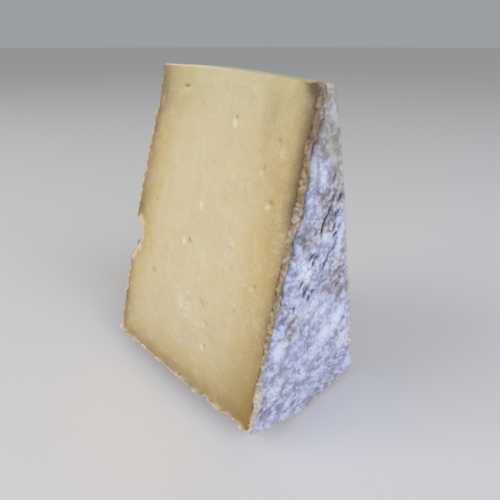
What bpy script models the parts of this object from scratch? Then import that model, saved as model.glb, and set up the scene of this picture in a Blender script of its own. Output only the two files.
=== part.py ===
"""A cut wedge of natural-rind Caerphilly cheese, standing on its rim with the tip up.

Metres, +Z up. X runs along the axis of the wheel that the wedge was cut from, from one flat
rind face to the other. Y runs across the wedge, from the front knife cut to the back one. Z
runs from the rim up to the tip, which was the middle of the wheel. The origin is under the
middle of the wedge's box, at the height of the small flat that the rim rests on.
"""

import bmesh
import bpy
import numpy as np
from mathutils import Matrix, Vector

# Driving dimensions, in metres.
TIP_HEIGHT = 0.1278  # highest point of the tip, over the left side
TIP_DROP = 0.0034  # how much lower the tip is at the right rind
TIP_DROP_FROM = -0.012  # x where the tip starts to fall towards the right
TIP_DROP_POWER = 1.6
TIP_TILT = 0.0006  # how much lower the tip's back edge is than its front edge
LEFT_AT_RIM = -0.0457  # outer face of the left rind at the rim
LEFT_SHARES = (0.0, 0.17, 0.34, 0.51, 0.60, 0.68, 0.75, 0.80, 0.85, 0.885, 1.0)
LEFT_OUTLINE = (  # x of the left rind's outer face at those shares of the height
    LEFT_AT_RIM, -0.0434, -0.0415, -0.0391, -0.0371, -0.0352, -0.0338, -0.0322, -0.0312,
    -0.0295, -0.0293,
)
RIGHT_SIDE = 0.0452  # outer face of the right rind, upright all the way
FRONT_AT_RIM = -0.0330  # y of the front cut where it meets the rim
BACK_AT_RIM = 0.0311
FRONT_AT_TIP = -0.0067
BACK_AT_TIP = 0.0022
BULGE_SHARES = (0.0, 0.12, 0.22, 0.36, 0.45, 0.70, 0.90, 1.0)
BULGE = (0.0012, 0.0004, 0.0023, 0.0019, 0.0010, 0.0019, 0.0010, 0.0)  # of the back cut at those heights
FLARE = 0.0010  # bulge of the back cut's bottom edge
FLARE_HEIGHT = 0.0060
FLARE_REACH = 0.0050
FOOT_MIDDLE = 0.0025  # y of the flat that the rim rests on
FOOT_HALF = 0.0065
FRONT_LIFT = 0.0090  # height of the rim's front and back edges above the table
BACK_LIFT = 0.0034
RIM_POWER = 1.35
RIM_ROUND = 0.0020  # radius between the rim and the flat rind faces
LIP_ROUND = 0.0014  # wear of the rind's edges along the cuts
CHIP_PLACES = (0.0195, 0.0225, 0.0290, 0.0335, 0.0380, 0.0420, 0.0455)
CHIP_LIFTS = (0.0, 0.0012, 0.0009, 0.0021, 0.0024, 0.0014, 0.0010)  # of the front bottom edge at those x
TIP_ROUND = 0.0017

# Where the left rind is torn away at the front edge.
TEAR_HEIGHTS = (0.0470, 0.0500, 0.0540, 0.0570, 0.0605, 0.0625, 0.0650, 0.0662)
TEAR_SHARES = (0.0, 0.45, 0.50, 0.92, 0.95, 0.55, 0.50, 0.0)
TEAR_DEPTH = 0.0034
TEAR_SET_BACK = 0.0026  # how far the torn edge lies behind the cut
TEAR_REACH = 0.20  # share of the wedge's width that it runs back

# Relief of the surfaces: size of the lumps, and their height.
RIND_LUMP = 0.0085
RIND_HEIGHT = 0.0005
PASTE_WAVE = 0.0300
PASTE_HEIGHT = 0.00035
LIP_LUMP = 0.0050  # crumbly edge of the rind along the cuts
LIP_HEIGHT = 0.0007
LATTICE = 32  # cells of the noise before it repeats
SEED = 7

# How finely the block is divided along X, Y and Z, and how much it crowds to the edges.
STEPS = (30, 16, 42)
CROWD = (0.55, 0.45, 0.30)

# Small holes in the front cut: x, z, half length and half width.
HOLES = (
    (-0.0125, 0.1207, 0.0016, 0.0009),
    (0.0155, 0.1113, 0.0014, 0.0013),
    (0.0350, 0.0889, 0.0013, 0.0012),
    (0.0030, 0.0811, 0.0013, 0.0013),
    (-0.0018, 0.0667, 0.0017, 0.0012),
    (-0.0250, 0.0767, 0.0011, 0.0009),
    (0.0357, 0.0621, 0.0010, 0.0009),
    (-0.0223, 0.0475, 0.0014, 0.0010),
    (0.0147, 0.0301, 0.0013, 0.0010),
)

# Creases and worn pits in the right rind: y, z, half length, half width and turn in degrees.
RIND_CREASES = (
    (0.0025, 0.0825, 0.0042, 0.0009, -62.0),
    (0.0088, 0.0800, 0.0036, 0.0008, -84.0),
    (-0.0020, 0.0700, 0.0028, 0.0008, -35.0),
    (-0.0082, 0.0608, 0.0022, 0.0008, -48.0),
    (-0.0052, 0.0560, 0.0024, 0.0009, -52.0),
    (0.0052, 0.0655, 0.0026, 0.0008, -40.0),
)
HOLE_SUNK = 0.35  # share of a hole's width that its middle lies under the surface
EDGE_NICK = (0.0195, 0.0106, 0.0019)  # x, z and half size of a nick in the front bottom edge
LIP_CRACK = (0.0462, 0.0835, 0.0013)  # the same for a crack in the right rind's cut edge


def clear_scene():
    for obj in list(bpy.data.objects):
        bpy.data.objects.remove(obj, do_unlink=True)


def make_noise_lattice():
    """Random heights on a cubic lattice, from -1 to 1, the same every run."""
    return np.random.default_rng(SEED).uniform(-1.0, 1.0, (LATTICE, LATTICE, LATTICE))


def smooth_noise(points, lump, lattice):
    """Heights read from the lattice, one cell for each lump, eased between its corners."""
    place = points / lump
    cell = np.floor(place).astype(int)
    ease = place - cell
    ease = ease * ease * (3.0 - 2.0 * ease)
    total = np.zeros(len(points))
    for corner in np.ndindex(2, 2, 2):
        near = np.where(corner, ease, 1.0 - ease).prod(axis=1)
        i, j, k = ((cell + corner) % LATTICE).T
        total += near * lattice[i, j, k]
    return total


def stations(steps, crowd):
    """Inner division points from 0 to 1, part even and part crowded to both ends."""
    even = np.arange(1, steps) / steps
    crowded = (1.0 - np.cos(np.pi * even)) / 2.0
    return (1.0 - crowd) * even + crowd * crowded


def divided_block():
    """A unit cube from the origin to (1, 1, 1), sliced along X, Y and Z."""
    block = bmesh.new()
    bmesh.ops.create_cube(block, size=1.0, matrix=Matrix.Translation((0.5, 0.5, 0.5)))
    for axis in range(3):
        normal = Vector(float(axis == k) for k in range(3))
        for place in stations(STEPS[axis], CROWD[axis]):
            everything = block.verts[:] + block.edges[:] + block.faces[:]
            bmesh.ops.bisect_plane(
                block, geom=everything, plane_co=normal * place, plane_no=normal, dist=1e-7
            )
    return block


def rounded_corner(across, up, corner_across, corner_up, radius, side_across, side_up):
    """Bends a square corner to a quarter circle. Points inside move with it."""
    a = (across - (corner_across - side_across * radius)) * side_across
    b = (up - (corner_up - side_up * radius)) * side_up
    inside = (a > 0.0) & (b > 0.0)
    length = np.hypot(a, b)
    shrink = np.where(inside, np.maximum(a, b) / np.maximum(length, 1e-9), 1.0)
    new_across = np.where(inside, across + side_across * a * (shrink - 1.0), across)
    new_up = np.where(inside, up + side_up * b * (shrink - 1.0), up)
    return new_across, new_up


def left_face(up):
    """x of the left rind at a share of the height."""
    return np.interp(up, LEFT_SHARES, LEFT_OUTLINE)


def tip_height(x, y_share):
    """Height of the tip, which falls towards the right and a little towards the back."""
    fall = np.clip((x - TIP_DROP_FROM) / (RIGHT_SIDE - TIP_DROP_FROM), 0.0, 1.0)
    return TIP_HEIGHT - TIP_DROP * fall**TIP_DROP_POWER - TIP_TILT * y_share


def rim_lift(y):
    """Height of the curved rim above the table, zero along the foot."""
    front = np.clip((FOOT_MIDDLE - FOOT_HALF - y) / (FOOT_MIDDLE - FOOT_HALF - FRONT_AT_RIM), 0.0, 1.2)
    back = np.clip((y - FOOT_MIDDLE - FOOT_HALF) / (BACK_AT_RIM - FOOT_MIDDLE - FOOT_HALF), 0.0, 1.2)
    return FRONT_LIFT * front**RIM_POWER + BACK_LIFT * back**RIM_POWER


def chip(x, y_share):
    """Lift of the front bottom edge where it is chipped away."""
    return np.interp(x, CHIP_PLACES, CHIP_LIFTS) * np.clip(1.0 - y_share / 0.08, 0.0, 1.0)


def tear(y_share, z):
    """Depth, from 0 to 1, of the torn place in the left rind at the front cut."""
    back = np.clip(1.0 - y_share / TEAR_REACH, 0.0, 1.0)
    return np.interp(z, TEAR_HEIGHTS, TEAR_SHARES) * back**0.7


def wedge_points(block):
    """Places the block's points on the plain wedge: rim at the bottom, tip at the top.

    Each point has three shares, from 0 to 1, of the way from the left rind to the right, from
    the front cut to the back and from the rim to the tip."""
    across, along, up = block.T
    thick = RIGHT_SIDE - LEFT_AT_RIM
    x_flat, z_flat = across * thick, up * TIP_HEIGHT
    for side, corner in ((-1.0, 0.0), (1.0, thick)):
        x_flat, z_flat = rounded_corner(x_flat, z_flat, corner, 0.0, RIM_ROUND, side, -1.0)
        x_flat, z_flat = rounded_corner(x_flat, z_flat, corner, TIP_HEIGHT, TIP_ROUND, side, 1.0)
    up = z_flat / TIP_HEIGHT
    x = left_face(up) + (RIGHT_SIDE - left_face(up)) * x_flat / thick

    y_rim = FRONT_AT_RIM + (BACK_AT_RIM - FRONT_AT_RIM) * along
    y_tip = FRONT_AT_TIP + (BACK_AT_TIP - FRONT_AT_TIP) * along
    z_tip = tip_height(x, along)
    y = y_rim + (y_tip - y_rim) * up
    z_rim = rim_lift(y_rim) + chip(x, along)
    z = z_rim + (z_tip - z_rim) * up
    for side, at_rim, at_tip in ((-1.0, FRONT_AT_RIM, FRONT_AT_TIP), (1.0, BACK_AT_RIM, BACK_AT_TIP)):
        y, z = rounded_corner(y, z, at_tip, z_tip, TIP_ROUND * 0.7, side, 1.0)
        cut = at_rim + (at_tip - at_rim) * up
        x, y = rounded_corner(x, y, RIGHT_SIDE, cut, LIP_ROUND, 1.0, side)

    torn = tear(along, z) * np.clip(1.0 - across / 0.12, 0.0, 1.0)
    x = x + TEAR_DEPTH * torn
    y = y + TEAR_SET_BACK * torn * (along < 0.5)
    y = y + np.interp(up, BULGE_SHARES, BULGE) * along
    y = y + FLARE * along**4 * np.exp(-(((z - FLARE_HEIGHT) / FLARE_REACH) ** 2))
    return np.stack([x, y, z], axis=1)


def relief(points, block, lattice):
    """Height of the surface's unevenness at each point: lumpy rind, nearly flat cuts."""
    across, along, up = block.T
    on_rind = np.minimum(np.minimum(across, 1.0 - across), up) < 1e-6
    on_cut = np.minimum(along, 1.0 - along) < 1e-6
    lumps = smooth_noise(points, RIND_LUMP, lattice) + 0.6 * smooth_noise(points, RIND_LUMP / 2.1, lattice)
    waves = smooth_noise(points, PASTE_WAVE, lattice)
    crumbs = smooth_noise(points, LIP_LUMP, lattice)
    height = np.where(on_rind, RIND_HEIGHT * lumps, PASTE_HEIGHT * waves)
    return np.where(on_rind & on_cut, LIP_HEIGHT * crumbs, height)


def shaped_wedge():
    """The wedge's mesh: the divided block, bent to shape, with its relief and a flat foot."""
    block = divided_block()
    mesh = bpy.data.meshes.new("caerphilly_wedge")
    block.to_mesh(mesh)
    block.free()
    count = len(mesh.vertices)
    shares = np.empty(count * 3, np.float32)
    mesh.vertices.foreach_get("co", shares)
    shares = np.clip(shares.reshape(-1, 3).astype(float), 0.0, 1.0)
    points = wedge_points(shares)
    mesh.vertices.foreach_set("co", points.astype(np.float32).ravel())
    mesh.update()
    normals = np.empty(count * 3, np.float32)
    mesh.vertices.foreach_get("normal", normals)
    points += normals.reshape(-1, 3) * relief(points, shares, make_noise_lattice())[:, None]
    in_foot = (shares[:, 2] < 1e-6) & (np.abs(points[:, 1] - FOOT_MIDDLE) < FOOT_HALF * 1.3)
    points[:, 2] = np.where(in_foot, 0.0, np.maximum(points[:, 2], 0.0))
    mesh.vertices.foreach_set("co", points.astype(np.float32).ravel())
    mesh.update()
    return mesh, shares


def material(name, colour, roughness):
    made = bpy.data.materials.new(name)
    made.use_nodes = True
    shader = made.node_tree.nodes["Principled BSDF"]
    shader.inputs["Base Color"].default_value = (*colour, 1.0)
    shader.inputs["Roughness"].default_value = roughness
    shader.inputs["Metallic"].default_value = 0.0
    made.diffuse_color = (*colour, 1.0)
    return made


def give_materials(mesh, shares):
    """Paste on the two cuts and the tip, rind on the two flat faces and the rim."""
    mesh.materials.append(material("caerphilly_paste", (0.64, 0.55, 0.36), 0.45))
    mesh.materials.append(material("caerphilly_rind", (0.45, 0.46, 0.58), 0.90))
    for face in mesh.polygons:
        corners = shares[list(face.vertices)]
        across, up = corners[:, 0], corners[:, 2]
        is_rind = (across < 1e-6).all() or (across > 1.0 - 1e-6).all() or (up < 1e-6).all()
        face.material_index = int(is_rind)


def front_cut(z):
    """y of the front cut at a height."""
    up = (z - FRONT_LIFT) / (TIP_HEIGHT - FRONT_LIFT)
    return FRONT_AT_RIM + (FRONT_AT_TIP - FRONT_AT_RIM) * up


def cutter(name, place, half_sizes, turn=Matrix.Identity(3)):
    """A small ball, stretched and turned, that a Boolean takes out of the wedge."""
    made = bmesh.new()
    bmesh.ops.create_icosphere(made, subdivisions=1, radius=1.0)
    stretch = Matrix.Diagonal((*half_sizes, 1.0))
    made.transform(Matrix.Translation(place) @ turn.to_4x4() @ stretch)
    mesh = bpy.data.meshes.new(name)
    made.to_mesh(mesh)
    made.free()
    obj = bpy.data.objects.new(name, mesh)
    obj.hide_render = True
    obj.display_type = "WIRE"
    return obj


def make_cutters():
    """Holes in the front cut, creases in the right rind, a nick and a crack in its edge."""
    cutters = bpy.data.collections.new("cutters")
    for number, (x, z, half_long, half_wide) in enumerate(HOLES):
        place = (x, front_cut(z) + half_wide * HOLE_SUNK, z)
        cutters.objects.link(cutter(f"hole_{number}", place, (half_long, half_wide, half_wide)))
    for number, (y, z, half_long, half_wide, turn) in enumerate(RIND_CREASES):
        place = (RIGHT_SIDE + half_wide * HOLE_SUNK, y, z)
        turned = Matrix.Rotation(np.radians(-turn), 3, "X")
        sizes = (half_wide * 1.6, half_long, half_wide)
        cutters.objects.link(cutter(f"crease_{number}", place, sizes, turned))
    for name, (x, z, half) in (("edge_nick", EDGE_NICK), ("lip_crack", LIP_CRACK)):
        cutters.objects.link(cutter(name, (x, front_cut(z), z), (half, half * 1.4, half)))
    return cutters


def make_wedge():
    clear_scene()
    mesh, shares = shaped_wedge()
    give_materials(mesh, shares)
    wedge = bpy.data.objects.new("caerphilly_wedge", mesh)
    home = bpy.data.collections.new("caerphilly")
    bpy.context.scene.collection.children.link(home)
    home.objects.link(wedge)
    cutters = make_cutters()
    bpy.context.scene.collection.children.link(cutters)
    cut = wedge.modifiers.new("small_hollows", "BOOLEAN")
    cut.operation = "DIFFERENCE"
    cut.operand_type = "COLLECTION"
    cut.collection = cutters
    cut.solver = "EXACT"
    mesh.shade_smooth()
    mesh.set_sharp_from_angle(angle=np.radians(40.0))


make_wedge()
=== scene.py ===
# %% [markdown]
# # A cut wedge of Caerphilly
# Caerphilly is a moist, crumbly white cheese that ripens inwards from a dry, mouldy rind. This
# wedge was cut from a wheel about 25 cm across. It stands on its rim with the middle of the
# wheel at the top, so one knife cut faces left and one flat side of the wheel faces right.
# The lesson dresses a plain solid of the wedge. First comes the paste, which the knife left
# smooth, and then the rind, which wraps round three of its sides.

# %% Load the plain wedge
import math

import bpy
import numpy as np
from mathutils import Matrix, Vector


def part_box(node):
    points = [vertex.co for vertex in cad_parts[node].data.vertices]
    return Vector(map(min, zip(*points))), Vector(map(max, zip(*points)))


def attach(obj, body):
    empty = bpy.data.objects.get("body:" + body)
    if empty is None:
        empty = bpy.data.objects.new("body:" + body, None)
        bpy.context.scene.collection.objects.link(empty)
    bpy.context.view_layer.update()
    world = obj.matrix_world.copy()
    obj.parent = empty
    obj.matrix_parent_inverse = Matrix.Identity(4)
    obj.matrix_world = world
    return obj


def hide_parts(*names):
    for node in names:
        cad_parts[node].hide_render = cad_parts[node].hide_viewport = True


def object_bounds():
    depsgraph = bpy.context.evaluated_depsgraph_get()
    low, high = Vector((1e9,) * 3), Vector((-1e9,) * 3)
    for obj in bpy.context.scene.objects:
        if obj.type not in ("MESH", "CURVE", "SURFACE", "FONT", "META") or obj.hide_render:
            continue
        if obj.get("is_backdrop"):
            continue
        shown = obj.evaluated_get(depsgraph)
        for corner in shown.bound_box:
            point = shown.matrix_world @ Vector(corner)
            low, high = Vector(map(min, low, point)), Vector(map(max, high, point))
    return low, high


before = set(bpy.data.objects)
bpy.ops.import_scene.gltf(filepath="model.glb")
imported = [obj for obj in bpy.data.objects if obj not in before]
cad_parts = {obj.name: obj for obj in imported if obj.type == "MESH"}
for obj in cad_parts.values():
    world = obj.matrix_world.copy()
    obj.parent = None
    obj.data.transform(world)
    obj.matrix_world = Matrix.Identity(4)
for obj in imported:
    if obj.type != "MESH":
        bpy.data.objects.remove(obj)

plain_box = [list(corner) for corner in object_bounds()]
MM = 0.001
WEDGE = "caerphilly_wedge"
low, high = (np.array(corner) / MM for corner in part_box(WEDGE))
print("plain wedge, mm:", (high - low).round(1))

# %% [markdown]
# ## Sizes
# Everything below is in millimetres until it reaches a mesh. The outer sizes come from the
# plain wedge's box, less room for the rind's lumps. The rest say how the wheel was cut and
# where it is torn. They could be read off the solid's mesh, but numbers with names are easier
# to follow and to change.

# %% Sizes, in millimetres
RIGHT = high[0] - 0.5  # room for the rind's lumps
TIP = high[2] + 0.1  # the plain wedge's edges are rounded a little more
LEFT_AT_RIM, FRONT_AT_RIM, BACK_AT_RIM = -45.7, -33, 31.1
FRONT_AT_TIP, BACK_AT_TIP = -6.7, 2.2
THICKNESS = RIGHT - LEFT_AT_RIM
RIND_THICK = 2.8
LEFT_SHARES = (0, 0.17, 0.34, 0.51, 0.6, 0.68, 0.75, 0.8, 0.85, 0.885, 1)  # of the height
LEFT_OUTLINE = (-45.7, -43.4, -41.5, -39.1, -37.1, -35.2, -33.8, -32.2, -31.2, -29.5, -29.3)
BULGE_SHARES = (0, 0.12, 0.22, 0.36, 0.45, 0.7, 0.9, 1)
BULGE = (1.2, 0.4, 2.3, 1.9, 1, 1.9, 1, 0)  # of the back cut, at those shares
FLARE, FLARE_AT, FLARE_REACH = 1, 6, 5  # of the back cut's bottom edge
TIP_DROP, TIP_DROP_FROM, TIP_DROP_POWER, TIP_TILT = 3.4, -12, 1.6, 0.6
FOOT_MIDDLE, FOOT_HALF = 2.5, 6.5
FRONT_LIFT, BACK_LIFT, RIM_POWER = 9, 3.4, 1.35
CHIP_PLACES = (17.8, 19, 20.3, 22.3, 29, 33.5, 38, 42, 45.5)
CHIP_LIFTS = (0, 2.2, 2.4, 1.1, 0.9, 2.1, 2.4, 1.4, 1)
CHIP_REACH, CHIP_BACK = 14, 0.08  # a chip is gone this far above the rim, and this share back
CUT_LEAN = (FRONT_AT_TIP - FRONT_AT_RIM) / (TIP - FRONT_LIFT)  # of the front cut, backwards
TEAR_HEIGHTS = (47, 50, 54, 57, 60.5, 62.5, 65, 66.2)
TEAR_SHARES = (0, 0.45, 0.5, 0.92, 0.95, 0.55, 0.5, 0)
TEAR_DEPTH, TEAR_SET_BACK, TEAR_WIDE = 3.4, 2.6, 11
TEAR_BACK, TEAR_POWER = 0.2, 0.7  # share of the width that it runs back, and how it fades
print("rim thickness %.1f mm, tip at %.1f mm" % (THICKNESS, TIP))

# %% [markdown]
# ## Where a point of the wedge lies
# A wedge is a block that has been squeezed. So each surface is first laid out on a block: so
# many millimetres from the left side, so many behind the front cut, so many above the rim.
# One function then squeezes the block to the wedge. Both pieces use it, so they fit.

# %% Curves
def clipped(share):
    """A share held between 0 and 1."""
    return np.clip(share, 0, 1)


def eased(share):
    """Cubic ease: 0 below 0, 1 above 1, and 3 s^2 - 2 s^3 between."""
    share = clipped(share)
    return share * share * (3 - 2 * share)


def ramp(value, start, end):
    """Eased share of the way that a value has gone from start to end, upwards or downwards."""
    return eased((value - start) / (end - start))


def bell(distance, reach):
    """Bell curve: e to the minus square of distance over reach, so 1, 0.37 and 0.02 at 0, 1 and 2."""
    return np.exp(-((distance / reach) ** 2))


print("ramp and bell at a half: %.2f, %.2f" % (ramp(0.5, 0, 1), bell(0.5, 1)))

# %% Plain shape of the wedge
def width(above_rim):
    """Distance between the two cuts: a straight line from the rim's width to the tip's."""
    at_rim = BACK_AT_RIM - FRONT_AT_RIM
    at_tip = BACK_AT_TIP - FRONT_AT_TIP
    return at_rim + (at_tip - at_rim) * above_rim / TIP


def left_side(up):
    """x of the left side: straight lines between the outline's points."""
    return np.interp(up, LEFT_SHARES, LEFT_OUTLINE)


def rim_lift(y):
    """Height of the curved rim: zero along the foot, a power curve of the way out from it."""
    front = (FOOT_MIDDLE - FOOT_HALF - y) / (FOOT_MIDDLE - FOOT_HALF - FRONT_AT_RIM)
    back = (y - FOOT_MIDDLE - FOOT_HALF) / (BACK_AT_RIM - FOOT_MIDDLE - FOOT_HALF)
    return (FRONT_LIFT * np.clip(front, 0, 1.2) ** RIM_POWER
            + BACK_LIFT * np.clip(back, 0, 1.2) ** RIM_POWER)


def tear(along, z):
    """How torn the left rind is, 0 to 1: steep at its top, sloping at its foot, fading backwards."""
    return np.interp(z, TEAR_HEIGHTS, TEAR_SHARES) * clipped(1 - along / TEAR_BACK) ** TEAR_POWER


print("between the cuts, mm: %.1f at the rim, %.1f at the tip" % (width(0), width(TIP)))

# %% From block to wedge
def on_wedge(from_left, behind_front, above_rim):
    """Squeezes block millimetres to wedge millimetres, as arrays of x, y and z.

    y is stretched between the two cuts, x between the tapering left side and the upright
    right one, and z between the curved rim and the tip, which drops to the right. The tear,
    the chips and the flare are added on top. A chip moves points up the cut's own slope, so
    the cut stays flat."""
    up = above_rim / TIP
    along = behind_front / width(above_rim)
    y_rim = FRONT_AT_RIM + (BACK_AT_RIM - FRONT_AT_RIM) * along
    y_tip = FRONT_AT_TIP + (BACK_AT_TIP - FRONT_AT_TIP) * along
    y = y_rim + (y_tip - y_rim) * up
    x = left_side(up) + (RIGHT - left_side(up)) * from_left / THICKNESS
    fall = clipped((x - TIP_DROP_FROM) / (RIGHT - TIP_DROP_FROM))
    tip = TIP - TIP_DROP * fall**TIP_DROP_POWER - TIP_TILT * along
    lift = rim_lift(y_rim)
    chip = np.interp(x, CHIP_PLACES, CHIP_LIFTS) * clipped(1 - along / CHIP_BACK)
    chip = chip * clipped(1 - above_rim / CHIP_REACH)
    z = lift + (tip - lift) * up + chip
    y = y + CUT_LEAN * chip
    torn = tear(along, z) * clipped(1 - from_left / TEAR_WIDE)
    x = x + TEAR_DEPTH * torn
    y = y + TEAR_SET_BACK * torn * (along < 0.5)
    y = y + np.interp(up, BULGE_SHARES, BULGE) * along
    y = y + FLARE * clipped(along) ** 4 * bell(z - FLARE_AT, FLARE_REACH)
    return np.stack(np.broadcast_arrays(x, y, z), axis=-1)


print("corner of the front cut at the rim, mm:", on_wedge(THICKNESS, 0, 0).round(1))

# %% [markdown]
# ## Unevenness
# Nothing on a cheese is quite even. Value noise gives that: random heights sit on the corners
# of a lattice and are eased between them. The lattice's cell is the size of one lump, so each
# pattern below is asked for by its real size in millimetres. Blender's own noise textures can
# move a mesh too, but these arrays also give the masks that the colours follow.

# %% Smooth noise
LATTICE_CELLS = 64
LATTICE = np.random.default_rng(23).uniform(-1, 1, (LATTICE_CELLS,) * 3)


def noise(points, lump, shift=0):
    """Value noise from -1 to 1: lattice heights weighted by the eased nearness of 8 corners."""
    place = np.asarray(points) / lump + shift
    cell = np.floor(place).astype(int)
    nearness = eased(place - cell)
    total = np.zeros(place.shape[:-1])
    for corner in np.ndindex(2, 2, 2):
        weight = np.where(corner, nearness, 1 - nearness).prod(axis=-1)
        i, j, k = np.moveaxis((cell + corner) % LATTICE_CELLS, -1, 0)
        total += weight * LATTICE[i, j, k]
    return total


print("noise runs from %.2f to %.2f" % (LATTICE.min(), LATTICE.max()))

# %% Crumbs and dents
SEEDS = np.random.default_rng(31).uniform(0.1, 0.9, (LATTICE_CELLS,) * 3 + (3,))
FAR = 9  # farther than any seed, in cells


def crumbs(points, size, shift=0):
    """Cell noise: how much farther the second nearest seed is than the nearest, in cell sizes.

    Each lattice cell holds one seed, so the value is 0 on the crease between two crumbs and
    rises to about 0.6 in the middle of one."""
    place = np.asarray(points) / size + shift
    cell = np.floor(place).astype(int)
    nearest = np.full(place.shape[:-1], FAR)
    second = nearest.copy()
    for step in np.ndindex(3, 3, 3):
        near_cell = cell + step - 1
        i, j, k = np.moveaxis(near_cell % LATTICE_CELLS, -1, 0)
        distance = np.linalg.norm(near_cell + SEEDS[i, j, k] - place, axis=-1)
        second = np.minimum(second, np.maximum(nearest, distance))
        nearest = np.minimum(nearest, distance)
    return second - nearest


def dent(u, v, mark):
    """A smooth oval: e to the minus cube of the distance from its middle, in half axes.

    A mark is its middle's u and v, its half length, its half width and its turn in degrees."""
    at_u, at_v, half_long, half_wide, turn = mark
    cos, sin = math.cos(math.radians(turn)), math.sin(math.radians(turn))
    along = ((u - at_u) * cos + (v - at_v) * sin) / half_long
    across = ((v - at_v) * cos - (u - at_u) * sin) / half_wide
    return np.exp(-((along**2 + across**2) ** 1.5))


def dents(u, v, marks):
    """Several ovals added up."""
    return sum(dent(u, v, mark) for mark in marks)


print("seeds of crumbs:", SEEDS.shape[:3])

# %% [markdown]
# ## From rings to a mesh
# Each piece is a stack of rings, like a knitted tube with its two ends sewn shut. The points
# are one array of rows and columns, so the faces follow from the row and column numbers alone.
# Normals come from the steps along and round the stack, and relief moves points along them.

# %% Rings, normals and meshes
def outward(rings):
    """Unit normals: the cross product of the step round a ring and the step to the next one."""
    around = np.roll(rings, -1, axis=1) - np.roll(rings, 1, axis=1)
    onward = np.gradient(rings, axis=0)
    normal = np.cross(around, onward)
    return normal / np.maximum(np.linalg.norm(normal, axis=-1, keepdims=True), 1e-9)


def ring_faces(rows, columns):
    """Quads between neighbouring rings, and one face over each end ring."""
    row, column = np.meshgrid(np.arange(rows - 1), np.arange(columns), indexing="ij")
    after = (column + 1) % columns
    corners = (row * columns + column, row * columns + after,
               (row + 1) * columns + after, (row + 1) * columns + column)
    quads = np.stack(corners, axis=-1).reshape(-1, 4).tolist()
    first = list(range(columns))[::-1]
    last = list(range((rows - 1) * columns, rows * columns))
    return quads + [first, last]


def add_object(name, data):
    """An object that shows a mesh, a light or a camera, linked to the scene."""
    thing = bpy.data.objects.new(name, data)
    bpy.context.scene.collection.objects.link(thing)
    return thing


def make_piece(name, rings, **masks):
    """One closed mesh from a stack of rings in millimetres, with a float attribute per mask."""
    rows, columns, _ = rings.shape
    mesh = bpy.data.meshes.new(name)
    mesh.from_pydata((rings.reshape(-1, 3) * MM).tolist(), [], ring_faces(rows, columns))
    for mask_name, mask in masks.items():
        values = np.broadcast_to(mask, (rows, columns)).astype(np.float32).ravel()
        mesh.attributes.new(mask_name, "FLOAT", "POINT").data.foreach_set("value", values)
    mesh.shade_smooth()
    mesh.validate()
    print("%s: %d faces, masks %s" % (name, len(mesh.polygons), ", ".join(masks)))
    return add_object(name, mesh)


print("a tube of 3 rings of 4 points has %d faces" % len(ring_faces(3, 4)))

# %% [markdown]
# ## The paste
# The paste is the white inside of the cheese. A long blade cut it, so its two faces are flat
# and faintly waxy, with small holes, torn crumbs and the odd drag line. Just under the rind it
# has ripened: it is yellower there, and sinks a little where it has dried.
# It could be a box with a bump map, but the small holes show at the edge of a close view. So
# the whole face is a fine grid and the holes are true hollows in it.

# %% Outline of the paste's rings
PASTE_INSET = 0.8  # the rings start and end this far inside the rind
TIP_EDGE = 0.35  # radius of the edges along the tip
RECESS = 2.6  # the end rings are drawn in by this much
FRONT_STEPS, BACK_STEPS, TOP_STEPS, ARC_STEPS, HIDDEN_STEPS = 236, 128, 12, 6, 16
PASTE_ROWS = 172
ON_CUT = 0.01  # a point this near to a cut lies on it


def paste_rings():
    """Rings from right to left: up the front cut, over the rounded tip, down the back cut.

    The first and last rings are drawn in, so the two ends are hollow under the rind."""
    arc = np.linspace(0, np.pi / 2, ARC_STEPS)[1:-1]
    edge_in, edge_up = TIP_EDGE * (1 - np.cos(arc)), TIP - TIP_EDGE * (1 - np.sin(arc))
    front_up = np.linspace(PASTE_INSET, TIP - TIP_EDGE, FRONT_STEPS)
    back_up = np.linspace(TIP - TIP_EDGE, PASTE_INSET, BACK_STEPS)
    top_in = np.linspace(TIP_EDGE, width(TIP) - TIP_EDGE, TOP_STEPS)
    hidden_in = np.linspace(width(PASTE_INSET), 0, HIDDEN_STEPS)[1:-1]
    behind = np.concatenate([
        np.zeros(FRONT_STEPS), edge_in, top_in,
        width(edge_up[::-1]) - edge_in[::-1], width(back_up), hidden_in])
    above = np.concatenate([
        front_up, edge_up, np.full(TOP_STEPS, TIP),
        edge_up[::-1], back_up, np.full(len(hidden_in), PASTE_INSET)])
    from_left = np.linspace(THICKNESS - PASTE_INSET, PASTE_INSET, PASTE_ROWS)
    from_left = np.concatenate([[THICKNESS - RECESS], from_left, [RECESS]])[:, None]
    above_in = np.interp(above, [PASTE_INSET, TIP], [RECESS, TIP - RECESS])
    behind_in = RECESS + behind / width(above) * (width(above_in) - 2 * RECESS)
    is_end = (np.arange(len(from_left)) % (len(from_left) - 1) == 0)[:, None]
    from_left = from_left + 0 * above
    return from_left, np.where(is_end, behind_in, behind), np.where(is_end, above_in, above)


paste_left, paste_behind, paste_above = paste_rings()
paste_xyz = on_wedge(paste_left, paste_behind, paste_above)
is_front = paste_behind < ON_CUT
is_back = np.abs(paste_behind - width(paste_above)) < ON_CUT
print("paste grid:", paste_xyz.shape[:2])
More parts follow.
